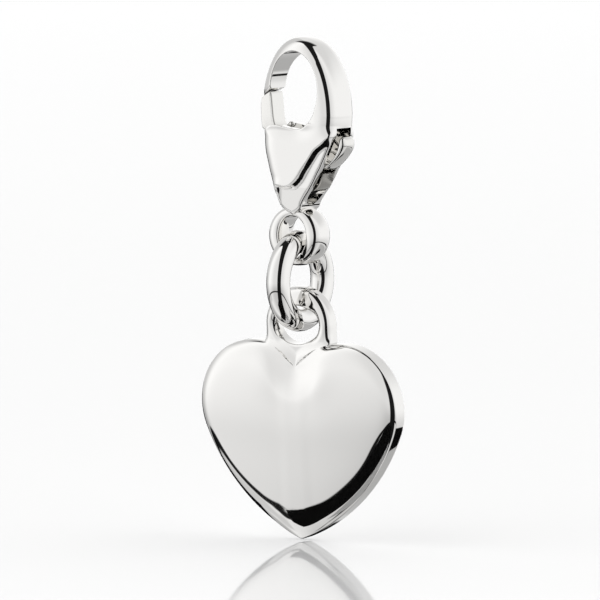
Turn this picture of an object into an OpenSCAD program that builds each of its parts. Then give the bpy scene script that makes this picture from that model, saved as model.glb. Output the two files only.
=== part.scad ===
/* [Heart] */
// Radius of the two round lobes
lobe_r = 3.9; // [3.7:0.05:4.1]
// Sideways distance from the centre line to each lobe's centre
lobe_x = 3.05; // [2.9:0.05:3.2]
// Height of the lobe centres above the tip
lobe_z = 7.9; // [7.6:0.05:8.3]
// Radius of the long curved sides between lobe and tip
side_r = 11.6; // [11:0.1:14]
// Radius of the rounded tip
tip_r = 0.45; // [0.3:0.05:0.7]
// Thickness of the flat edge wall round the heart
edge_t = 0.9; // [0.7:0.05:1.1]
// How far the steep border of the front rises above the edge
border_h = 0.65; // [0.4:0.05:0.8]
// How far the pillowed front rises above its border
pillow_h = 0.4; // [0.3:0.05:0.6]
// Angle at which the heart hangs, its tip leaning back under the bail
heart_lean = 3; // [1:0.1:4]

/* [Bail] */
// Outer width of the cast bail
bail_w = 4.65; // [4.3:0.05:5]
// Width of the bail's hole
bail_hole_w = 2.95; // [2.8:0.05:3.1]
// Height of the bail's hole
bail_hole_h = 2.3; // [2.2:0.05:2.5]
// Height of metal above the hole
bail_top = 1.12; // [0.9:0.02:1.3]
// Thickness of the bail from front to back
bail_t = 1; // [0.9:0.05:1.1]

/* [Link ring] */
// Diameter of the ring's round wire
wire_d = 1.4; // [1.2:0.05:1.4]
// Diameter of the ring measured at the middle of its wire
ring_d = 4.66; // [4.5:0.02:5]

/* [Clasp] */
// Width of the opening inside the hook
throat_w = 3.7; // [3.6:0.02:3.74]
// Height of the opening inside the hook
throat_h = 4.66; // [4.5:0.02:4.8]
// Width of the hook over its outer curve
hook_w = 5.75; // [5.6:0.05:5.8]
// Metal above the opening at the top of the hook
hook_top = 0.84; // [0.75:0.01:0.95]
// Thickness of the clasp from front to back
clasp_t = 2.86; // [2.7:0.02:3]
// Thickness of the hook's nose from front to back
nose_t = 1.3; // [1.2:0.05:1.5]
// Width of the slot that the lever works in
slot_w = 1.46; // [1.4:0.02:1.5]
// Thickness of the lever from front to back
lever_t = 1.3; // [1.2:0.02:1.34]
// Radius of the lever's pin
pin_r = 0.3; // [0.25:0.01:0.34]
// Thickness of the clasp's eye from front to back
eye_t = 2; // [1.8:0.05:2.1]
// Metal round the hole of the eye
eye_wall = 0.52; // [0.45:0.01:0.6]

/* [Hidden] */
$fn = 64;
// Small gap between pieces that hang in one another
gap = 0.06;
// Running clearance of the lever on its pin, and of the pin in the plates
pin_play = 0.03;
pin_seat = 0.005;
// Cutting shapes run this far past the metal
over = 4;

// Hook: two ellipses, the opening one with its top at the hanging point
throat_x = 0.26;
throat_z = -throat_h / 2;
hook_x = 0.33;
hook_z = -3.82;
hook_h = 2 * (hook_top - hook_z);

// Gap between the nose and the housing, which the gate closes
mouth_shape = [[-over, -4.4], [-0.62, -4.4], [-1.3, -2.1], [-over, -3.7]];

// The hook's curve gives way to the housing between these heights
hook_end = -4.1;
neck_top = -8.6;

// Housing corners, going down the left side and back up the right
house_left = [[-1.3, -4.4], [-1.69, -4.67], [-1.85, -5.2], [-1.76, -6], [-1.5, -7], [-1.15, -8]];
neck_left = [[-0.8, -8.75], [-0.78, -9.1], [-1.02, -9.8]];
neck_right = [[1.02, -9.8], [0.86, -9.1], [0.95, -8.8]];
house_right = [[1.55, -8.2], [2.05, -7], [2.5, -6.1], [2.9, -5.4], [2.85, -4]];

// Half thickness of the hook at three places across it, and of the foot at two heights
nose_side = [[-2.3, nose_t / 2], [-0.3, 1.14], [1.9, clasp_t / 2]];
foot_side = [[eye_t / 2, -9.4], [clasp_t / 2, -7.6]];

// Slot: open at the top left for the gate and at the right for the thumb tab
slot_shape = [
    [-3, -4.95], [-1.35, -5.25], [-1.2, -6.2], [-0.75, -7.2], [0, -7.9],
    [0.3, -8.3], [over, -8.3], [over, -4.72], [1.75, -4.72], [1, -4.3], [0.6, -4], [-3, -4]
];

// Eye: an upright oval hole at the foot of the clasp
eye_x = 0;
eye_z = -10.95;
eye_hole_w = 1.98;
eye_hole_h = 2.32;
eye_floor = eye_z - eye_hole_h / 2;

// Lever: its pin, gate and thumb tab
pin_x = 0.35;
pin_z = -6.75;
pin_length = slot_w + 0.9;
hub_r = 0.78;
gate_shape = [
    [-2.43, -2.84], [-1.76, -2.44], [-1.66, -2.6], [-1.48, -4.2], [-1.2, -4.75], [-0.3, -5.35],
    [pin_x + 0.5, -6.1], [pin_x - 0.55, -7.25], [-0.85, -6.7], [-1.18, -5.6], [-1.5, -4.88],
    [-2.3, -4.72], [-2.38, -4.2]
];
tab_shape = [
    [pin_x, -6.05], [1.1, -6.35], [1.85, -6.72], [2.35, -6.6], [2.85, -6.15], [3.1, -5.6], [3.2, -5.02],
    [3.5, -5.02], [3.55, -5.5], [3.4, -5.95], [2.95, -6.45], [2.2, -7], [1.9, -7.15], [pin_x + 0.25, -7.45]
];
nib_r = 0.17;
nib_x = -0.62;
nib_z = -4.42;
nib_post = 1;

// Leaf spring, a bent strip standing in the foot of the slot under the thumb tab
spring_bends = [[0.65, -8.02], [1.35, -8.16], [1.74, -7.9], [2, -7.2]];
spring_strip = 0.16;
spring_w = 1.2;

// How far the ring stands off the middle of the eye's floor and of the bail's top, where its inner curve sits
eye_slack = 0.1;
bail_slack = 0.18;

// Link ring hangs on the floor of the eye
ring_z = eye_floor + eye_slack + wire_d / 2 - ring_d / 2;
ring_foot = ring_z - ring_d / 2;

// Heart, drawn with its tip at the origin, then hung with the ring's wire at the top of the bail's hole
bail_hole_top = 13.96;
heart_hang = bail_hole_top - bail_slack - wire_d / 2;
edge_front = -edge_t / 2;
edge_back = edge_t / 2;
notch_z = lobe_z + sqrt(lobe_r * lobe_r - lobe_x * lobe_x);
bail_foot = 11.1;
bail_foot_w = 4.75;
bail_root = 9.4;
bail_root_w = 1.2;

function dist(a, b) = norm(a - b);
function at(c, r, a) = [c.x + r * cos(a), c.y + r * sin(a)];

// Centre of the long side's circle, which touches the lobe and the tip's small circle from outside them
lobe_c = [lobe_x, lobe_z];
tip_c = [0, tip_r];
touch_d = side_r - lobe_r;
tip_d = side_r - tip_r;
tip_to_lobe = norm(lobe_c - tip_c);
touch_cos = (tip_d * tip_d + tip_to_lobe * tip_to_lobe - touch_d * touch_d) / (2 * tip_d * tip_to_lobe);
to_side = atan2(lobe_z - tip_r, lobe_x) + acos(touch_cos);
side_c = tip_c + tip_d * [cos(to_side), sin(to_side)];
touch_a = atan2(lobe_z - side_c.y, lobe_x - side_c.x);
notch_a = atan2(notch_z - lobe_z, -lobe_x);
tip_a = atan2(tip_c.y - side_c.y, tip_c.x - side_c.x);

// Right half of the outline, from the notch round the lobe and down to the tip
lobe_steps = 22;
side_steps = 9;
tip_steps = 3;
half = concat(
    [for (i = [0 : lobe_steps]) at(lobe_c, lobe_r, notch_a + (touch_a - notch_a) * i / lobe_steps)],
    [for (i = [1 : side_steps]) at(side_c, side_r, touch_a + (tip_a - touch_a) * i / side_steps)],
    [for (i = [1 : tip_steps]) at(tip_c, tip_r, tip_a + (-90 - tip_a) * i / tip_steps)]
);
outline = concat(half, [for (i = [len(half) - 2 : -1 : 1]) [-half[i].x, half[i].y]]);

// Distance from a point inside the heart to its outline
function in_span(c, p, from, to) =
    let (a = atan2(p.y - c.y, p.x - c.x))
    let (b = a > from ? a - 360 : a)
    b >= to;
function lobe_gap(p) = in_span(lobe_c, p, notch_a, touch_a) ? lobe_r - dist(p, lobe_c) : 99;
function side_gap(p) = side_r - dist(p, side_c);
function notch_gap(p) = dist(p, [0, notch_z]);
function soft_min(a, b, k) =
    let (h = max(k - abs(a - b), 0) / k)
    min(a, b) - h * h * k / 4;
function deep(p) =
    let (q = [abs(p.x), p.y], far = [-abs(p.x), p.y])
    let (near_edge = min(lobe_gap(q), side_gap(q)))
    let (all_edges = soft_min(near_edge, side_gap(far), 1.6))
    max(0, soft_min(all_edges, notch_gap(q), 1));

// Width of the steep border, and the distance from the outline at which the pillow is full
border_w = 0.5;
pillow_d = 4.6;
// Height of the front above its edge, at a distance d from the outline
function rise(d) =
    let (u = 1 - min(d / pillow_d, 1))
    border_h * (1 - exp(-d / border_w)) + pillow_h * (1 - u * u);

// Rings of points from the outline in to the middle of the heart
mid = [0, 6.2];
rings = 8;
function ring_scale(j) = 1 - pow(j / rings, 1.6);
function front_point(p, j) =
    let (q = mid + (p - mid) * ring_scale(j))
    [q.x, j == 0 ? edge_front : edge_front - rise(deep(q)), q.y];

module heart_body() {
    n = len(outline);
    front = [for (j = [0 : rings - 1]) for (p = outline) front_point(p, j)];
    back = [for (p = outline) [p.x, edge_back, p.y]];
    peak = [mid.x, edge_front - rise(deep(mid)), mid.y];
    last = (rings - 1) * n;
    peak_i = rings * n + n;
    faces = concat(
        [for (j = [0 : rings - 2]) for (i = [0 : n - 1])
            [j * n + i, (j + 1) * n + (i + 1) % n, (j + 1) * n + i]],
        [for (j = [0 : rings - 2]) for (i = [0 : n - 1])
            [j * n + i, j * n + (i + 1) % n, (j + 1) * n + (i + 1) % n]],
        [for (i = [0 : n - 1]) [last + i, last + (i + 1) % n, peak_i]],
        [for (i = [0 : n - 1]) [i, rings * n + (i + 1) % n, (i + 1) % n]],
        [for (i = [0 : n - 1]) [i, rings * n + i, rings * n + (i + 1) % n]],
        [[for (i = [n - 1 : -1 : 0]) rings * n + i]]
    );
    polyhedron(concat(front, back, [peak]), faces);
}

function oval(x, z, w, h, steps = 72) =
    [for (i = [0 : steps - 1]) [x + w / 2 * cos(360 * i / steps), z + h / 2 * sin(360 * i / steps)]];

// A flat shape in X and Z, given thickness from front to back about the middle
module upright(t) {
    translate([0, t / 2, 0]) rotate([90, 0, 0]) linear_extrude(t) children();
}

module bail() {
    hole_z = bail_hole_top - bail_hole_h / 2;
    outer_h = bail_hole_h + 2 * bail_top;
    upright(bail_t) difference() {
        union() {
            polygon(oval(0, hole_z, bail_w, outer_h));
            polygon([
                [-bail_foot_w / 2, bail_foot], [-bail_root_w / 2, bail_root],
                [bail_root_w / 2, bail_root], [bail_foot_w / 2, bail_foot],
                [bail_w / 2, hole_z], [-bail_w / 2, hole_z]
            ]);
        }
        polygon(oval(0, hole_z, bail_hole_w, bail_hole_h));
    }
}

module heart() {
    color("silver")
    translate([0, 0, ring_foot]) rotate([heart_lean, 0, 0]) translate([0, 0, -heart_hang]) union() {
        heart_body();
        bail();
    }
}

module link_ring() {
    color("gainsboro")
    translate([0, 0, ring_z]) rotate([0, 90, 0]) rotate_extrude()
        translate([ring_d / 2, 0]) circle(d = wire_d);
}

module clasp_outline() {
    difference() {
        union() {
            polygon(oval(hook_x, hook_z, hook_w, hook_h, 96));
            polygon(concat(house_left, neck_left, neck_right, house_right));
            polygon(oval(eye_x, eye_z, eye_hole_w + 2 * eye_wall, eye_hole_h + 2 * eye_wall));
        }
        polygon(oval(throat_x, throat_z, throat_w, throat_h, 96));
        polygon(oval(eye_x, eye_z, eye_hole_w, eye_hole_h));
        polygon(mouth_shape);
        beside_housing();
    }
}

// Takes away the hook's curve on both sides of the narrower housing
module beside_housing() {
    polygon(concat([[-over, hook_end], [-1, hook_end]], house_left, [[-0.9, neck_top], [-over, neck_top]]));
    polygon(concat([[1.2, neck_top]], house_right, [[over, hook_end], [over, neck_top]]));
}

// Seen from above, the hook thins from its right limb to its nose
module nose_taper() {
    for (side = [0, 1]) mirror([0, side, 0])
        translate([0, 0, hook_end]) linear_extrude(hook_top - hook_end + 1)
            polygon(concat([[-over, nose_t / 2]], nose_side, [[nose_side[2].x, over], [-over, over]]));
}

// Seen from the side, the foot thins towards its eye
module eye_taper() {
    for (side = [0, 1]) mirror([0, side, 0])
        rotate([90, 0, 90]) translate([0, 0, -over]) linear_extrude(2 * over)
            polygon(concat(
                [[eye_t / 2, eye_z - over]], foot_side, [[over, foot_side[1].y], [over, eye_z - over]]
            ));
}

module clasp_body() {
    color("lightgray") difference() {
        upright(clasp_t) clasp_outline();
        upright(slot_w) polygon(slot_shape);
        nose_taper();
        eye_taper();
        ring_seat();
        translate([pin_x, 0, pin_z]) rotate([90, 0, 0])
            cylinder(r = pin_r + pin_seat, h = pin_length + 0.1, center = true);
    }
}

// Hollow worn into the eye by the ring
module ring_seat() {
    translate([0, 0, ring_z]) rotate([0, 90, 0]) rotate_extrude()
        translate([ring_d / 2, 0]) circle(d = wire_d + 2 * gap);
}

module clasp_lever() {
    color("whitesmoke") difference() {
        union() {
            upright(lever_t) {
                polygon(gate_shape);
                polygon(tab_shape);
                translate([pin_x, pin_z]) circle(r = hub_r);
            }
            translate([nib_x, 0, nib_z]) sphere(r = nib_r);
            translate([nib_x, 0, nib_z - nib_post]) cylinder(r = nib_r * 0.7, h = nib_post);
        }
        translate([pin_x, 0, pin_z]) rotate([90, 0, 0])
            cylinder(r = pin_r + pin_play, h = over, center = true);
    }
}

module clasp_pin() {
    color("gray") translate([pin_x, 0, pin_z]) rotate([90, 0, 0])
        cylinder(r = pin_r, h = pin_length, center = true);
}

// Both long sides of a strip of even thickness along a bent line
function unit(v) = v / norm(v);
function bend_side(p, i) =
    let (before = unit(p[max(i, 1)] - p[max(i, 1) - 1]))
    let (after = unit(p[min(i, len(p) - 2) + 1] - p[min(i, len(p) - 2)]))
    let (along = unit(before + after))
    [-along.y, along.x];
function strip_sides(p, thick) = concat(
    [for (i = [0 : len(p) - 1]) p[i] + bend_side(p, i) * thick / 2],
    [for (i = [len(p) - 1 : -1 : 0]) p[i] - bend_side(p, i) * thick / 2]
);

module clasp_spring() {
    color("dimgray") upright(spring_w) polygon(strip_sides(spring_bends, spring_strip));
}

heart();
link_ring();
clasp_body();
clasp_lever();
clasp_pin();
clasp_spring();
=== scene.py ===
import math

import bmesh
import bpy
from mathutils import Matrix, Vector
from mathutils.kdtree import KDTree


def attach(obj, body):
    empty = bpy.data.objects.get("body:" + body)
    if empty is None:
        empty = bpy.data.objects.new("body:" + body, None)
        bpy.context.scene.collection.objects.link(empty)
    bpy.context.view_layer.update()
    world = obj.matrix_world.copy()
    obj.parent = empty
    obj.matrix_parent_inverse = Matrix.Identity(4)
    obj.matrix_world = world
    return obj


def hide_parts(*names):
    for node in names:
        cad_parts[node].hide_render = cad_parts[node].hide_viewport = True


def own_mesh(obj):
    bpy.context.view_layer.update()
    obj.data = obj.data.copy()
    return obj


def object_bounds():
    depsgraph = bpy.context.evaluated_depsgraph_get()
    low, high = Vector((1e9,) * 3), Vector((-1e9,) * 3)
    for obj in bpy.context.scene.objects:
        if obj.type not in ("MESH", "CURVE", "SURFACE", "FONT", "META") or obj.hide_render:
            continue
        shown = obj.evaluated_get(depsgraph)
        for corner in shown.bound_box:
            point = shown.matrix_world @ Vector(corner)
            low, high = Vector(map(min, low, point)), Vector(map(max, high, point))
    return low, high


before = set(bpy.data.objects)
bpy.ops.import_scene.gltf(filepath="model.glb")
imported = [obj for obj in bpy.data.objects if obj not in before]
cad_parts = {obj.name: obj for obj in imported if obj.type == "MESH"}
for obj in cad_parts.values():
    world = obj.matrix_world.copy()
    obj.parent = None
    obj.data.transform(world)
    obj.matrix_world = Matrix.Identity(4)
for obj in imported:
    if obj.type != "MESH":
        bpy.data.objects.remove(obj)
cad_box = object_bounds()
MM = 0.001

# HEART: one silver casting, a heart with a softly swollen front, a flat back and a plain edge wall, and the
# bail that grows out of the dip between its lobes. It is drawn with its tip at the origin, then hung on the
# ring with its tip leaning back a little.


def hex_colour(code):
    """An sRGB hex colour as linear red, green, blue and alpha."""
    channels = [int(code[i : i + 2], 16) / 255 for i in (1, 3, 5)]
    linear = [c / 12.92 if c <= 0.04045 else ((c + 0.055) / 1.055) ** 2.4 for c in channels]
    return (*linear, 1.0)


def add(tree, kind, links=None, **settings):
    """Adds a node to a tree, sets its properties or inputs by name, and links its inputs."""
    node = tree.nodes.new(kind)
    for name, value in settings.items():
        if hasattr(node, name):
            setattr(node, name, value)
        else:
            node.inputs[name.replace("_", " ")].default_value = value
    for name, source in (links or {}).items():
        tree.links.new(source, node.inputs[name])
    return node


HAIRLINE_DEEP = 0.01


def metal(name, colour, roughness, haze, haze_mm, hairline_mm, hairline):
    """A bare metal whose buffing haze and hairlines have a real size in millimetres."""
    material = bpy.data.materials.new(name)
    material.use_nodes = True
    tree = material.node_tree
    shader = tree.nodes["Principled BSDF"]
    shader.inputs["Base Color"].default_value = hex_colour(colour)
    shader.inputs["Metallic"].default_value = 1.0
    place = add(tree, "ShaderNodeTexCoord").outputs["Object"]
    cloud = add(tree, "ShaderNodeTexNoise", {"Vector": place}, Scale=1 / (haze_mm * MM), Detail=3.0)
    soft = add(tree, "ShaderNodeMapRange", {"Value": cloud.outputs["Fac"]},
               From_Min=0.35, From_Max=0.7, To_Min=roughness, To_Max=roughness + haze)
    tree.links.new(soft.outputs["Result"], shader.inputs["Roughness"])
    lines = add(tree, "ShaderNodeTexNoise", {"Vector": place}, Scale=1 / (hairline_mm * MM), Detail=2.0)
    bump = add(tree, "ShaderNodeBump", {"Height": lines.outputs["Fac"]},
               Strength=hairline, Distance=HAIRLINE_DEEP * MM)
    tree.links.new(bump.outputs["Normal"], shader.inputs["Normal"])
    return material


# Sterling silver, cast, filed and buffed on a wheel until it mirrors the studio. The last buffing leaves a
# faint haze, softer here and there, and hairlines, drawn coarser than real ones so that they show at all.
polished_silver = metal("polished_sterling_silver", "#f4f3f1", 0.02, 0.03, 2.5, 0.3, 0.01)

LOBE_R, LOBE_X, LOBE_Z = 3.9, 3.05, 7.9
SIDE_R, TIP_R = 11.6, 0.45
EDGE_T = 0.9
EDGE_ROUND, BACK_ROUND, HOLE_ROUND, SHOULDER_ROUND = 0.07, 0.1, 0.15, 0.42
CORNER_STEP = 0.03
HEART_LEAN = math.radians(3.0)
RING_Z, RING_D, WIRE_D = -13.64, 4.66, 1.4
HOLE_TOP, BAIL_SLACK = 13.96, 0.18
HEART_HANG = HOLE_TOP - BAIL_SLACK - WIRE_D / 2
BAIL_W, BAIL_H = 4.65, 4.54
HOLE_W, HOLE_H, HOLE_Z = 2.95, 2.3, 12.81
BAIL_FROM = 10
MIDDLE = Vector((0, 6.2))


def polar(centre, radius, angle):
    """The point at an angle on a circle."""
    return Vector((centre.x + radius * math.cos(angle), centre.y + radius * math.sin(angle)))


# The right half's outline: a lobe, a long shallow side and a small round tip, each tangent to the next
lobe = Vector((LOBE_X, LOBE_Z))
notch = Vector((0, LOBE_Z + math.sqrt(LOBE_R**2 - LOBE_X**2)))
tip = Vector((0, TIP_R))
long, short = SIDE_R - TIP_R, SIDE_R - LOBE_R
turn = math.acos((long**2 + (lobe - tip).length_squared - short**2) / (2 * long * (lobe - tip).length))
side = polar(tip, long, math.atan2(LOBE_Z - TIP_R, LOBE_X) + turn)
touch_a = math.atan2(LOBE_Z - side.y, LOBE_X - side.x)
notch_a = math.atan2(notch.y - LOBE_Z, -LOBE_X)
tip_a = math.atan2(tip.y - side.y, tip.x - side.x)
corner_a = math.acos((BAIL_W / 2 - LOBE_X) / LOBE_R)


def arc(centre, radius, start, end, steps):
    """Points along an arc, without its last one."""
    return [polar(centre, radius, start + (end - start) * i / steps) for i in range(steps)]


def flipped(points):
    """The same points on the other side of the middle line."""
    return [Vector((-p.x, p.y)) for p in points]


def edge_gap(x, z):
    """Distance in from the right half's edge, below zero outside it."""
    p = Vector((x, z))
    around = math.atan2(z - LOBE_Z, x - LOBE_X)
    if touch_a <= around <= notch_a:
        return LOBE_R - (p - lobe).length
    if -math.pi / 2 <= math.atan2(z - TIP_R, x) <= tip_a:
        return TIP_R - (p - tip).length
    return min((p - notch).length, SIDE_R - (p - side).length)


def soft_max(a, b, k):
    """The larger of two values, with a soft change between them while they differ by less than k."""
    h = max(k - abs(a - b), 0) / k
    return max(a, b) + h * h * k / 4


def smooth(x, low, high):
    """0 up to low, 1 from high on, and a soft rise between them."""
    t = min(max((x - low) / (high - low), 0), 1)
    return t * t * (3 - 2 * t)


def drop(gap, r):
    """How far an edge rounded to radius r lies below the face, at a distance gap in from the outline."""
    return r - math.sqrt(r * r - (r - max(gap, 0)) ** 2) if gap < r else 0.0


def dome(x, z):
    """Height of the front above the edge wall: a shallow swell with a valley below the bail, and a border
    that rolls steeply to the edge at the foot, less at the lobes, and hardly at all at the bail's root."""
    near, far = edge_gap(abs(x), z), edge_gap(-abs(x), z)
    if near <= 0:
        return 1.2 * near
    gap = -soft_max(-near, -far, min(2.0, 0.62 * (near + far)))
    low = 1 / (1 + math.exp((z - 6.3) / 0.7))
    soft = math.exp(-((x / 1.7) ** 2) - ((z - 10.4) / 1.6) ** 2)
    border_w = 0.26 + 0.02 * low + 0.5 * soft
    border = border_w * (1.6 - 0.45 * low - 1.25 * soft) * (1 - math.exp(-gap / border_w))
    swell = 0.27 * (1 - (x / 7) ** 2 - ((z - 6.5) / 7.6) ** 2)
    valley = 0.22 * math.exp(-((x / 1.5) ** 2)) / (1 + math.exp((8.6 - z) / 0.7))
    return border + (swell - valley) * (1 - math.exp(-gap / 0.8))


def bail_gap(x, z):
    """Distance in from the bail's outer edge, and out from its hole."""
    up = max(z - HOLE_Z, 0)
    outer = (1 - math.hypot(x / (BAIL_W / 2), up / (BAIL_H / 2))) * BAIL_W / 2
    hole = (math.hypot(x / (HOLE_W / 2), (z - HOLE_Z) / (HOLE_H / 2)) - 1) * (HOLE_W + HOLE_H) / 4
    return outer, hole


def bail_height(x, z):
    """Height of the bail's crowned face, highest at its hole and rolling over its outer shoulder."""
    outer, hole = bail_gap(x, z)
    share = max(hole, 0) / (max(outer, 0) + max(hole, 0) + 1e-6)
    crown = 0.1 - 0.15 * share**2 * smooth(z, 11, 12.5) - 0.03 * max(11.6 - z, 0)
    hole_round = HOLE_ROUND + 0.3 * smooth(abs(x), 0.6, 1.4)
    return crown - drop(outer, SHOULDER_ROUND) * smooth(z, 11.2, 12.2) - drop(hole, hole_round)


def wall_gap(x, z):
    """Distance in from the outline of heart and bail together."""
    return max(edge_gap(abs(x), z), bail_gap(x, z)[0]) if z > BAIL_FROM else edge_gap(abs(x), z)


def front_height(x, z):
    """The front's height, the bail melted into the heart most of all at its middle."""
    height = soft_max(bail_height(x, z), dome(x, z), 0.3 + 0.6 * smooth(-abs(x), -2.3, -0.4))
    return height - drop(wall_gap(x, z), EDGE_ROUND)


def back_height(x, z):
    return -drop(wall_gap(x, z), BACK_ROUND) - drop(bail_gap(x, z)[1], HOLE_ROUND)


def grid_patch(bm, around, across, place):
    """A grid of squares, bent so that each of its points lies where place() puts it."""
    made = bmesh.ops.create_grid(bm, x_segments=around, y_segments=across, size=0.5)
    for v in made["verts"]:
        v.co = place(v.co.x + 0.5, v.co.y + 0.5)


def wall_down(bm, edges, levels):
    """Walls pulled back from a row of edges, in steps to the depths that levels() gives at a point."""
    for i in range(len(levels(0, 0))):
        made = bmesh.ops.extrude_edge_only(bm, edges=edges)["geom"]
        edges = [e for e in made if isinstance(e, bmesh.types.BMEdge)]
        for v in (v for v in made if isinstance(v, bmesh.types.BMVert)):
            v.co.y = levels(v.co.x, v.co.z)[i]


def finish_mesh(bm, name, material, body, node, crease=180):
    """Closes seams, turns faces outwards and sets the piece on its body, from millimetres to metres."""
    bmesh.ops.remove_doubles(bm, verts=bm.verts, dist=1e-4)
    bmesh.ops.recalc_face_normals(bm, faces=bm.faces)
    bmesh.ops.scale(bm, vec=(MM, MM, MM), verts=bm.verts)
    mesh = bpy.data.meshes.new(name)
    bm.to_mesh(mesh)
    bm.free()
    mesh.shade_smooth()
    mesh.set_sharp_from_angle(angle=math.radians(crease))
    mesh.materials.append(material)
    piece = bpy.data.objects.new(name, mesh)
    bpy.context.scene.collection.objects.link(piece)
    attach(piece, body)
    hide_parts(node)
    return piece


dip = arc(lobe, LOBE_R, notch_a, corner_a, 20)
lobe_side = arc(lobe, LOBE_R, corner_a, touch_a, 90) + arc(side, SIDE_R, touch_a, tip_a, 56)
lobe_side += arc(tip, TIP_R, tip_a, -math.pi / 2, 8)
heart_half = dip + lobe_side
heart_rim = heart_half + [Vector((0, 0))] + flipped(heart_half)[:0:-1]
limb_foot = polar(lobe, LOBE_R, corner_a).y
limb = [Vector((BAIL_W / 2, limb_foot + (HOLE_Z - limb_foot) * i / 8)) for i in range(8)]
arch = [Vector((BAIL_W / 2 * math.cos(math.pi * i / 72), HOLE_Z + BAIL_H / 2 * math.sin(math.pi * i / 72)))
        for i in range(73)]
bail_rim = dip + limb + arch + flipped(limb)[::-1] + flipped(dip)[:0:-1]


def heart_spot(u, v):
    rim = heart_rim[round(u * len(heart_rim)) % len(heart_rim)]
    return MIDDLE + (rim - MIDDLE) * (1 - v**2.2)


def bail_spot(u, v):
    rim = bail_rim[round(u * len(bail_rim)) % len(bail_rim)]
    a = math.atan2(rim.y - HOLE_Z, rim.x)
    reach = 1 / math.hypot(math.cos(a) / (HOLE_W / 2), math.sin(a) / (HOLE_H / 2))
    return polar(Vector((0, HOLE_Z)), reach, a).lerp(rim, 0.5 - 0.5 * math.cos(math.pi * v))


bm = bmesh.new()
for spot, around, across in ((heart_spot, len(heart_rim), 46), (bail_spot, len(bail_rim), 30)):
    for face, height in ((-1, front_height), (1, back_height)):

        def place(u, v):
            p = spot(u, v)
            return Vector((p.x, face * (EDGE_T / 2 + height(p.x, p.y)), p.y))

        grid_patch(bm, around, across, place)
bmesh.ops.remove_doubles(bm, verts=bm.verts, dist=1e-4)
rim_edges = [e for e in bm.edges if e.is_boundary and e.verts[0].co.y < EDGE_T / 4]


def wall_levels(x, z):
    front, back = -EDGE_T / 2 - front_height(x, z), EDGE_T / 2 + back_height(x, z)
    return front + CORNER_STEP, back - CORNER_STEP, back


wall_down(bm, rim_edges, wall_levels)
bmesh.ops.translate(bm, vec=(0, 0, -HEART_HANG), verts=bm.verts)
bmesh.ops.rotate(bm, matrix=Matrix.Rotation(HEART_LEAN, 3, "X"), verts=bm.verts)
bmesh.ops.translate(bm, vec=(0, 0, RING_Z - RING_D / 2), verts=bm.verts)
finish_mesh(bm, "silver_heart", polished_silver, "heart", "heart")

# LINK RING: round drawn silver wire, bent on a mandrel and soldered shut, then polished until the joint is
# gone. It passes through the bail and the clasp's eye and hangs free in both.
bm = bmesh.new()
bmesh.ops.create_circle(bm, segments=64, radius=WIRE_D / 2)
bmesh.ops.translate(bm, vec=(RING_D / 2, 0, 0), verts=bm.verts)
for turn_axis in "ZYY":
    bmesh.ops.rotate(bm, matrix=Matrix.Rotation(math.pi / 2, 3, turn_axis), verts=bm.verts)
bmesh.ops.spin(bm, geom=bm.verts[:] + bm.edges[:], axis=(1, 0, 0), cent=(0, 0, 0), angle=math.tau, steps=144,
               use_merge=True)
bmesh.ops.translate(bm, vec=(0, 0, RING_Z), verts=bm.verts)
finish_mesh(bm, "link_ring_wire", polished_silver, "ring", "link_ring")

# CLASP BODY: one silver casting of the hook, which thins towards its nose, the housing that the lever works
# in, and the eye at the foot. Its outer shoulders are well rounded and its inner edges crisp. A soft raised
# shield covers the housing, and the slot goes right through it from the gate's side to the thumb's.
CLASP_T, NOSE_T, SLOT_W = 2.86, 1.3, 1.5
WALL_SHARES = (-0.97, 0.97, 1)
NOSE_X, NOSE_SWELL = -2.35, 0.78 / 0.761
STEP_DEEP = 0.28
EDGE_POINTS, SHIELD_POINTS, GRID_ROWS, GRID_ACROSS = 2400, 400, 800, 40
STRIDE = EDGE_POINTS // GRID_ROWS
PIN_X, PIN_Z, PIN_HOLE_R = 0.35, -6.75, 0.305
SLOT_END_X, SLOT_FOOT = 0.45, -8.4
EYE_X, EYE_Z, EYE_CLEAR = -0.06, -10.95, 0.07
THROAT, HOOK = (0.26, -2.33, 1.85, 2.33), (0.325, -3.82, 2.875, 4.66)


def on_oval(oval, degrees):
    x, z, w, h = oval
    return Vector((x + w * math.cos(math.radians(degrees)), z + h * math.sin(math.radians(degrees))))


# Points of the inner and left edge, each with its partner on the outer and right edge
stations = [
    (on_oval(THROAT, 178.5 - 199.5 * i / 20), on_oval(HOOK, 167.4 - 165.4 * i / 20)) for i in range(21)
] + [(Vector(a), Vector(b)) for a, b in [
    ((1.77, -3.73), (3.19, -3.95)), ((1.45, -4.16), (3.17, -4.25)), ((1.13, -4.43), (3.14, -4.5)),
    ((0.81, -4.56), (3.1, -4.75)), ((0.49, -4.59), (3.04, -5.0)), ((-0.15, -4.49), (2.94, -5.25)),
    ((-0.66, -4.39), (2.82, -5.5)), ((-1.0, -4.38), (2.7, -5.75)), ((-1.33, -4.43), (2.58, -6.0)),
    ((-1.69, -4.67), (2.46, -6.25)), ((-1.84, -5.2), (2.33, -6.5)), ((-1.8, -5.9), (2.18, -6.8)),
    ((-1.64, -6.6), (2.0, -7.1)), ((-1.45, -7.3), (1.76, -7.55)), ((-1.2, -8.0), (1.42, -8.1)),
    ((-0.98, -8.5), (1.05, -8.6)), ((-0.88, -8.9), (0.8, -9.0)), ((-0.74, -9.25), (0.68, -9.3)),
    ((-0.45, -9.52), (0.4, -9.52)), ((-0.08, -9.68), (0.08, -9.68))]]


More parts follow.
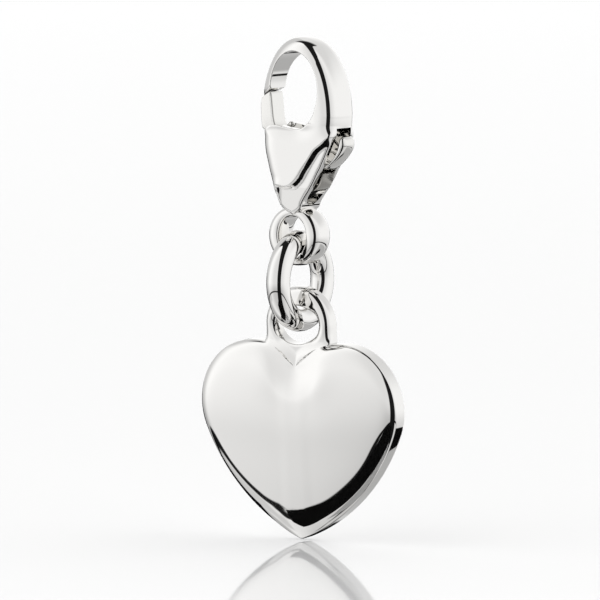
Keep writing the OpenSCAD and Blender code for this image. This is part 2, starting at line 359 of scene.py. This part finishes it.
def spline(points, t):
    """A point on a smooth curve through all the points, t running from 0 to 1."""
    s = min(max(t, 0), 1) * (len(points) - 1)
    i = min(int(s), len(points) - 2)
    f = s - i
    a, b, c, d = (points[min(max(j, 0), len(points) - 1)] for j in (i - 1, i, i + 1, i + 2))
    return 0.5 * (2 * b + (c - a) * f + (2 * a - 5 * b + 4 * c - d) * f**2 + (3 * b - a - 3 * c + d) * f**3)


def near_tree(points):
    """A search tree that finds the nearest of the points."""
    tree = KDTree(len(points))
    for i, p in enumerate(points):
        tree.insert((p.x, p.y, 0), i)
    tree.balance()
    return tree


inner_edge = [spline([a for a, b in stations], i / EDGE_POINTS) for i in range(EDGE_POINTS + 1)]
outer_edge = [spline([b for a, b in stations], i / EDGE_POINTS) for i in range(EDGE_POINTS + 1)]
inner_tree, outer_tree = near_tree(inner_edge), near_tree(outer_edge)
shield_line = [Vector(p) for p in [
    (3.1, -4.6), (2.65, -5.05), (2.37, -5.33), (1.86, -5.71), (1.48, -6.21), (1.04, -6.83), (0.61, -7.46),
    (0.13, -7.86), (-0.22, -7.96), (-0.6, -7.9), (-1.2, -7.75)]]
shield_edge = [spline(shield_line, i / SHIELD_POINTS) for i in range(SHIELD_POINTS + 1)]
shield_tree = near_tree(shield_edge)


def rounded(gap, wide, power):
    """Height of a rounded shoulder, from 0 at its edge to 1 at the full width in from it."""
    u = max(1 - gap / wide, 0)
    return (1 - min(u, 1) ** power) ** (1 / power)


def below_shield(x, z):
    """Distance beyond the shield's lower edge, below zero on the shield."""
    i = shield_tree.find((x, z, 0))[1]
    along = shield_edge[min(i + 1, SHIELD_POINTS)] - shield_edge[max(i - 1, 0)]
    p = Vector((x, z)) - shield_edge[i]
    return (p.y * along.x - p.x * along.y) / along.length


def half_thick(x, z):
    """Half the clasp's thickness from front to back at a point of its face."""
    inner, outer = inner_tree.find((x, z, 0))[2], outer_tree.find((x, z, 0))[2]
    # Full thickness, a little less towards the foot, and in the hook a swell that starts at the nose
    thick = CLASP_T / 2 - 0.06 * max(-z - 8.05, 0)
    if z > -4.2 or x < -2:
        thick = min(NOSE_T / 2 + NOSE_SWELL * (1 - math.exp(-max(x - NOSE_X, 0) / 3)), thick)
    # The housing's plates, stepped down below the shield and rolled over at both edges
    housing = smooth(-z, 4.3, 5.3)
    step_w = 0.42 - 0.18 * smooth(-x, -0.5, 0.1)
    step = STEP_DEEP * smooth(below_shield(x, z), 0, step_w) * housing * smooth(x, -1.0, -0.6)
    edge_w = 0.9 - 0.6 * smooth(-z, 7.4, 8.4)
    rolled = 0.12 * (1 - rounded(outer, 0.2, 2)) + 0.4 * (1 - rounded(inner, edge_w, 2))
    plate_side = (thick - step) * (1 - rolled)
    # The hook, well rounded outside and crisp inside, with the nose's slanting end rounded too
    hook_side = thick * rounded(outer, 1.15, 2.8) - drop(inner, 0.08)
    if x < 0 and z > -3.2:
        hook_side -= drop((z + 2.27) * 0.861 - (x + 1.589) * 0.509, 0.2)
    return max(hook_side + (plate_side - hook_side) * housing, 0)


def crossing(a, b):
    """How far along the way from a to b the shield's edge lies."""
    low, high = 0.0, 1.0
    for _ in range(24):
        half = (low + high) / 2
        p = a.lerp(b, half)
        low, high = (half, high) if below_shield(p.x, p.y) < 0 else (low, half)
    return min(max(low, 0.12), 0.97)


def middle_share(i):
    """Where a row's middle lies: on the shield's edge along the shield, halfway across elsewhere."""
    on_shield = smooth(i, 800, 1500) * (1 - smooth(i, 1880, 2040))
    return 0.5 + (crossing(inner_edge[i], outer_edge[i]) - 0.5) * on_shield


shield_share = [middle_share(i * STRIDE) for i in range(GRID_ROWS + 1)]


def body_spot(u, v):
    """A point of the face. The grid is finest along the middles of its rows."""
    i = round(u * GRID_ROWS)
    half, t = (0, 2 * v) if v < 0.5 else (1, 2 * v - 1)
    share = shield_share[i]
    share = (share if half else 0) + (1 - share if half else share) * (0.5 - 0.5 * math.cos(math.pi * t))
    return inner_edge[STRIDE * i].lerp(outer_edge[STRIDE * i], share)


bm = bmesh.new()
for face in (-1, 1):

    def place(u, v):
        p = body_spot(u, v)
        return Vector((p.x, face * half_thick(p.x, p.y), p.y))

    grid_patch(bm, GRID_ROWS, GRID_ACROSS, place)
bmesh.ops.remove_doubles(bm, verts=bm.verts, dist=1e-4)
rim_edges = [e for e in bm.edges if e.is_boundary and e.verts[0].co.y < 0]
wall_down(bm, rim_edges, lambda x, z: [half_thick(x, z) * share for share in WALL_SHARES])


def to_object(bm, name):
    """A bare object made from a mesh."""
    mesh = bpy.data.meshes.new(name)
    bm.to_mesh(mesh)
    bm.free()
    piece = bpy.data.objects.new(name, mesh)
    bpy.context.scene.collection.objects.link(piece)
    return piece


def plate(outline, thick, bevel=0.0):
    """A flat outline in X and Z, given thickness from front to back, its long edges rounded."""
    bm = bmesh.new()
    bm.faces.new([bm.verts.new((p[0], -thick / 2, p[1])) for p in outline])
    made = bmesh.ops.extrude_face_region(bm, geom=bm.faces[:])["geom"]
    bmesh.ops.translate(bm, vec=(0, thick, 0), verts=[v for v in made if isinstance(v, bmesh.types.BMVert)])
    bmesh.ops.recalc_face_normals(bm, faces=bm.faces)
    if bevel:
        edges = [e for e in bm.edges if abs(e.verts[0].co.y - e.verts[1].co.y) < thick / 2]
        bmesh.ops.bevel(bm, geom=edges, offset=bevel, segments=4, profile=0.5, affect="EDGES")
    return bm


def rod(radius, start, end, bm=None):
    """A closed cylinder between two points, alone or added to a mesh."""
    bm = bm or bmesh.new()
    way = Vector(end) - Vector(start)
    turn = Vector((0, 0, 1)).rotation_difference(way).to_matrix().to_4x4()
    bmesh.ops.create_cone(bm, cap_ends=True, segments=48, radius1=radius, radius2=radius, depth=way.length,
                          matrix=Matrix.Translation((Vector(start) + Vector(end)) / 2) @ turn)
    return bm


def cut_away(bm, cutters):
    """The solid left once every cutter has been taken away."""
    bmesh.ops.remove_doubles(bm, verts=bm.verts, dist=1e-4)
    bmesh.ops.recalc_face_normals(bm, faces=bm.faces)
    bmesh.ops.triangulate(bm, faces=[f for f in bm.faces if len(f.verts) > 4])
    piece = to_object(bm, "blank")
    for i, cutter in enumerate(cutters):
        step = piece.modifiers.new(f"cut_{i}", "BOOLEAN")
        step.operation, step.solver = "DIFFERENCE", "EXACT"
        step.object = to_object(cutter, f"cutter_{i}")
    shape = piece.evaluated_get(bpy.context.evaluated_depsgraph_get())
    left = bmesh.new()
    left.from_mesh(shape.to_mesh())
    shape.to_mesh_clear()
    for thing in [step.object for step in piece.modifiers] + [piece]:
        bpy.data.objects.remove(thing)
    return left


def eye_point(u, v):
    """The eye's rounded rim, hollowed where the ring sits."""
    a, b = math.tau * u, math.tau * v
    w, t = math.cos(b), math.sin(b)
    power, wide, high = (0.9, 0.6, 0.36) if w > 0 else (0.4, 0.33, 0.28)
    w, t = math.copysign(abs(w) ** power, w), math.copysign(abs(t) ** power, t)
    x = (1.29 + wide * w) * math.cos(a) + EYE_X
    z = EYE_Z + (1.44 + high * w) * math.sin(a)
    p = Vector((x, 0.88 * t, z))
    spoke = Vector((0, p.y, z - RING_Z))
    wire = Vector((0, 0, RING_Z)) + spoke.normalized() * RING_D / 2
    out = p - wire
    clear = WIRE_D / 2 + EYE_CLEAR
    return p if out.length > clear else wire + out.normalized() * clear


# The slot with its round foot, and the hole that the pin sits in
slot = [(-3.2, -4.95), (-1.35, -5.25), (-1.2, -6.2), (-0.75, -7.2), (0, -7.9), (0.3, SLOT_FOOT),
        (4, SLOT_FOOT), (4, -4.45), (3.1, -4.5), (1.9, -4.8), (1, -4.3), (0.6, -4), (-3.2, -4)]
bm = cut_away(bm, [
    plate(slot, SLOT_W), rod(SLOT_W / 2, (SLOT_END_X, 0, SLOT_FOOT), (3, 0, SLOT_FOOT)),
    rod(PIN_HOLE_R, (PIN_X, -1.2, PIN_Z), (PIN_X, 1.2, PIN_Z))])
grid_patch(bm, 120, 40, eye_point)
finish_mesh(bm, "clasp_casting", polished_silver, "clasp", "clasp_body", crease=38)

# LEVER: a cast silver lever that turns on the hidden pin. Its gate closes the hook, the curved fin at its
# other end is for the thumb, and a small ball stands on its shoulder.
LEVER_T, LEVER_ROUND, LEVER_HOLE_R, FIN_W = 1.3, 0.09, 0.33, 1.3
BALL_R, POST_R, BALL_X, BALL_Z, POST_FOOT = 0.2, 0.12, -0.62, -4.42, -5.4
# Cast silver, filed and tumbled rather than buffed on a wheel: a mirror a touch softer than the clasp's
cast_silver = metal("cast_silver", "#efeeeb", 0.05, 0.06, 1.2, 0.2, 0.02)


def softened(points, rounds):
    """A closed outline with its corners cut back and cut back again."""
    for _ in range(rounds):
        points = [p.lerp(q, f) for p, q in zip(points, points[1:] + points[:1]) for f in (0.2, 0.8)]
    return points


lever_line = [Vector(p) for p in [
    (-2.43, -2.86), (-1.76, -2.44), (-1.64, -2.6), (-1.48, -4.2), (-1.2, -4.75), (-0.3, -5.35), (0.35, -5.95),
    (0.85, -6.12), (1.2, -6.4), (1.95, -6.72), (1.85, -7.1), (1.0, -7.2), (0.6, -7.5), (0.1, -7.5),
    (-0.3, -7.2), (-0.85, -6.7), (-1.18, -5.6), (-1.5, -4.88), (-2.3, -4.72), (-2.38, -4.2)]]
fin_hollow = [Vector(p) for p in [
    (1.6, -6.72), (2.2, -6.68), (2.6, -6.42), (2.9, -6.02), (3.08, -5.55), (3.16, -5.0)]]
fin_back = [Vector(p) for p in [
    (1.7, -7.1), (2.4, -6.9), (2.95, -6.45), (3.4, -5.95), (3.6, -5.5), (3.52, -4.98)]]


def fin_spot(u, v):
    """The thumb's fin, thin and curved along its length, its edges rounded like a fingertip's."""
    along, a = 0.5 - 0.5 * math.cos(math.pi * u), math.tau * v
    size = rounded(1 - along, 0.12, 2.5) * rounded(along, 0.05, 2)
    power, thick = (0.9, 0.7) if math.cos(a) > 0 else (0.4, 0.3)
    deep, wide = (math.copysign(abs(w) ** power, w) * size for w in (math.cos(a), math.sin(a)))
    p = spline(fin_hollow, along).lerp(spline(fin_back, along), 0.3 + thick * deep)
    return Vector((p.x, FIN_W / 2 * wide, p.y))


pin_hole = rod(LEVER_HOLE_R, (PIN_X, -1, PIN_Z), (PIN_X, 1, PIN_Z))
bm = cut_away(plate(softened(lever_line, 2), LEVER_T, LEVER_ROUND), [pin_hole])
ball = bmesh.ops.create_uvsphere(bm, u_segments=32, v_segments=20, radius=BALL_R)["verts"]
bmesh.ops.translate(bm, vec=(BALL_X, 0, BALL_Z), verts=ball)
rod(POST_R, (BALL_X, 0, POST_FOOT), (BALL_X, 0, BALL_Z - 0.03), bm)
grid_patch(bm, 60, 64, fin_spot)
finish_mesh(bm, "clasp_lever_casting", cast_silver, "lever", "clasp_lever", crease=38)

# LEAF SPRING AND PIN: a bent strip of spring steel that pushes on the lever from the foot of the slot, and
# the hidden pin that the lever turns on, its ends burnished flush inside the plates.
STRIP_T, STRIP_W, STRIP_ROUND, STRIP_STEPS = 0.15, 1.2, 0.02, 24
# Spring steel, cold rolled and hardened: greyer than silver, with the rolls' soft sheen and fine lines
spring_steel = metal("spring_steel", "#b9b7b2", 0.12, 0.08, 0.6, 0.12, 0.04)
bends = [Vector(p) for p in [(0.65, -8.02), (1.35, -8.16), (1.74, -7.9), (2.0, -7.2)]]
middle_line = [spline(bends, i / STRIP_STEPS) for i in range(STRIP_STEPS + 1)]
ways = [(middle_line[min(i + 1, STRIP_STEPS)] - middle_line[max(i - 1, 0)]).normalized()
        for i in range(STRIP_STEPS + 1)]
upper = [p + Vector((-w.y, w.x)) * STRIP_T / 2 for p, w in zip(middle_line, ways)]
under = [p - Vector((-w.y, w.x)) * STRIP_T / 2 for p, w in zip(middle_line, ways)]
bm = plate(upper + under[::-1], STRIP_W, STRIP_ROUND)
spring = finish_mesh(bm, "leaf_spring_strip", spring_steel, "clasp", "clasp_spring",
                     crease=38)
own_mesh(spring)
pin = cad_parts["clasp_pin"]
pin.data.materials.clear()
pin.data.materials.append(cast_silver)

# STUDIO: a white light tent on a gloss white table. The tent has one dark slit that runs up over its top
# and down its back, with a thin dark line low around it, and dimmer cloth low down, behind and at the left.
# These, and the cards lying flat at the table's top that paint dark and grey reflections, draw the black
# lines and the greys in the silver.
CAMERA_AZ, CAMERA_EL = math.radians(34), math.radians(5)
SLIT_AZ, SLIT_HALF, LINE_EL = math.radians(42.5), math.radians(17), -19.3
DARK_SHARE, DIFFUSE_BOOST = 0.985, 1.3
world = bpy.data.worlds.new("light_tent")
bpy.context.scene.world = world
world.use_nodes = True
sky = world.node_tree
sky.nodes.clear()


def maths(operation, *values):
    node = add(sky, "ShaderNodeMath", operation=operation)
    for i, value in enumerate(values):
        if isinstance(value, (int, float)):
            node.inputs[i].default_value = value
        else:
            sky.links.new(value, node.inputs[i])
    return node.outputs[0]


def ramp(value, low, high, start=0.0, end=1.0):
    """A smooth change from start to end as the value runs from low to high, level beyond them."""
    node = add(sky, "ShaderNodeMapRange", {"Value": value}, interpolation_type="SMOOTHSTEP",
               From_Min=low, From_Max=high, To_Min=start, To_Max=end)
    return node.outputs["Result"]


way = add(sky, "ShaderNodeSeparateXYZ",
          {"Vector": add(sky, "ShaderNodeTexCoord").outputs["Generated"]}).outputs
azimuth = maths("MULTIPLY", maths("ARCTAN2", way["X"], maths("MULTIPLY", way["Y"], -1.0)), 180 / math.pi)
elevation = maths("MULTIPLY", maths("ARCSINE", way["Z"]), 180 / math.pi)

# The dark slit, wider behind and left out low down behind, and the dark line
across = maths("ABSOLUTE", maths("ADD", maths("MULTIPLY", way["X"], math.cos(SLIT_AZ)),
                                 maths("MULTIPLY", way["Y"], math.sin(SLIT_AZ))))
ahead = maths("SUBTRACT", maths("MULTIPLY", way["X"], math.sin(SLIT_AZ)),
              maths("MULTIPLY", way["Y"], math.cos(SLIT_AZ)))
wider_behind = maths("MULTIPLY", ramp(ahead, -0.4, 0.0, 0.2, 0.0), ramp(elevation, -20, -14))
slit_edge = maths("SUBTRACT", across, wider_behind)
slit = ramp(slit_edge, math.sin(SLIT_HALF) - 0.015, math.sin(SLIT_HALF) + 0.02, 1.0, 0.0)
low_back = maths("MULTIPLY", ramp(ahead, -0.5, -0.3, 1.0, 0.0), ramp(elevation, -2, 0))
slit = maths("MULTIPLY", slit, maths("SUBTRACT", ramp(elevation, -76, -68), low_back))
below = ramp(maths("SUBTRACT", elevation, LINE_EL), -0.4, 0.4, 1.0, 0.0)
line = maths("MULTIPLY", below, ramp(elevation, LINE_EL - 3.3, LINE_EL - 2.4))
dark = maths("MAXIMUM", slit, line)

# The cloth's brightness around the tent, less its dimmer stretches
around_light = maths("ADD", ramp(azimuth, -60, 0, 1.0, 0.7), ramp(azimuth, 60, 110, 0.0, 0.2))
around_light = maths("ADD", around_light, ramp(azimuth, -180, -150, -0.1, 0.0))
high_grey = maths("MULTIPLY", ramp(maths("ABSOLUTE", azimuth), 90, 130), ramp(elevation, 12, 40, 0.0, 0.25))
low_grey = maths("MULTIPLY", ramp(maths("ABSOLUTE", azimuth), 100, 125), ramp(elevation, -27, -23, 0.35, 0.0))
left_grey = maths("MULTIPLY", ramp(azimuth, -95, -55, 0.45, 0.0), ramp(azimuth, -140, -132))
near_floor = maths("MULTIPLY", ramp(elevation, -36, -30), ramp(elevation, -24, -21, 0.25, 0.0))
near_floor = maths("MULTIPLY", near_floor, ramp(azimuth, -52, -44, 1.0, 0.0))
greys = maths("MAXIMUM", maths("MAXIMUM", low_grey, high_grey), maths("MAXIMUM", left_grey, near_floor))
height_light = maths("ADD", ramp(elevation, -19, -2, -0.17, 0.09), ramp(elevation, -23, -21, 0.07, 0.0))
light = maths("ADD", maths("SUBTRACT", around_light, greys), height_light)
tent = maths("MULTIPLY", light, maths("SUBTRACT", 1.0, maths("MULTIPLY", dark, DARK_SHARE)))

# The camera sees plain white past the silver, and the cloth lights the table more than it shines in it
ray = add(sky, "ShaderNodeLightPath").outputs
seen = ray["Is Camera Ray"]
strength = maths("MULTIPLY_ADD", ray["Is Diffuse Ray"], DIFFUSE_BOOST, 1.0)
inside = add(sky, "ShaderNodeBackground", {"Color": tent, "Strength": strength})
outside = add(sky, "ShaderNodeBackground", Color=(1, 1, 1, 1))
both = add(sky, "ShaderNodeMixShader", {0: seen, 1: inside.outputs[0], 2: outside.outputs[0]})
add(sky, "ShaderNodeOutputWorld", {"Surface": both.outputs[0]})


def plain_surface(name, grey, specular):
    """A plain white or grey surface, and its shader."""
    material = bpy.data.materials.new(name)
    material.use_nodes = True
    shader = material.node_tree.nodes["Principled BSDF"]
    shader.inputs["Base Color"].default_value = (grey, grey, grey, 1)
    shader.inputs["Specular IOR Level"].default_value = specular
    return material, shader


# The table, gloss white acrylic just below the heart's tip, which the silver doesn't mirror
TABLE_HALF, TABLE_BELOW, CARD_BELOW = 3000, 0.1, 0.02
floor_z = cad_box[0].z / MM - TABLE_BELOW
bm = bmesh.new()
bmesh.ops.create_grid(bm, x_segments=1, y_segments=1, size=TABLE_HALF * MM)
bmesh.ops.translate(bm, vec=(0, 0, floor_z * MM), verts=bm.verts)
acrylic, acrylic_shader = plain_surface("white_acrylic", 0.95, 0.2)
acrylic_shader.inputs["Roughness"].default_value = 0.05
table = to_object(bm, "table")
table.data.materials.append(acrylic)
table.visible_glossy = False

# Painted reflections: cards lying flat at the table's top that only the silver sees, each a grey and its
# corners in
# millimetres: a black one that paints the bold dark reflected line at the heart's foot, two black ones that
# paint dark reflections on the right wall and the shield, and a grey one that paints a grey reflection
REFLECTION_CARDS = [
    (0.005, [(-0.6, -1.5), (0.6, -1.75), (2.8, -2.7), (11.6, -6.5), (16, -13), (13, -19), (5.3, -18.5),
             (1, -14.5), (0, -10.3), (-0.9, -7), (-2.7, -5), (-4.4, -4.2), (-2.2, -2.3)]),
    (0.005, [(8, 8.5), (14, 8), (19, 17), (12, 18)]),
    (0.005, [(-17, 1), (-6, -1), (-2, 2), (-4, 9), (-17, 12)]),
    (0.42, [(1.6, -1.2), (3.2, -2.6), (11, -5.8), (9, -1), (5, -0.5)])]
for i, (grey, corners) in enumerate(REFLECTION_CARDS):
    bm = bmesh.new()
    bm.faces.new([bm.verts.new((x * MM, y * MM, (floor_z - CARD_BELOW) * MM)) for x, y in corners])
    card = to_object(bm, f"card_{i}")
    card.data.materials.append(plain_surface(f"card_{i}_painted_reflection", grey, 0.0)[0])
    # Hidden from the camera, from diffuse light and from shadows, so each card shows only as a painted
    # reflection in the silver
    card.visible_camera = card.visible_diffuse = card.visible_shadow = False

# The camera, far enough for the photo's flat view of so small a piece
PX_PER_MM, PICTURE_PX, SENSOR, DISTANCE = 16.88, 600, 36, 0.4
MIDDLE_Z, RIGHT_PX = -14.81, 0.3
right_of_view = Vector((math.cos(CAMERA_AZ), math.sin(CAMERA_AZ), 0))
look_at = (Vector((0, 0, MIDDLE_Z)) - right_of_view * (RIGHT_PX / PX_PER_MM)) * MM
back = Vector((math.sin(CAMERA_AZ) * math.cos(CAMERA_EL), -math.cos(CAMERA_AZ) * math.cos(CAMERA_EL),
               math.sin(CAMERA_EL)))
camera_data = bpy.data.cameras.new("camera")
camera_data.sensor_width = SENSOR
camera_data.lens = SENSOR * DISTANCE / (PICTURE_PX / PX_PER_MM * MM)
camera_data.clip_start, camera_data.clip_end = 0.01, 10
camera = bpy.data.objects.new("camera", camera_data)
camera.location = look_at + back * DISTANCE
camera.rotation_euler = (-back).to_track_quat("-Z", "Y").to_euler()
bpy.context.scene.collection.objects.link(camera)
bpy.context.scene.camera = camera
bpy.context.scene.view_settings.view_transform = "Standard"
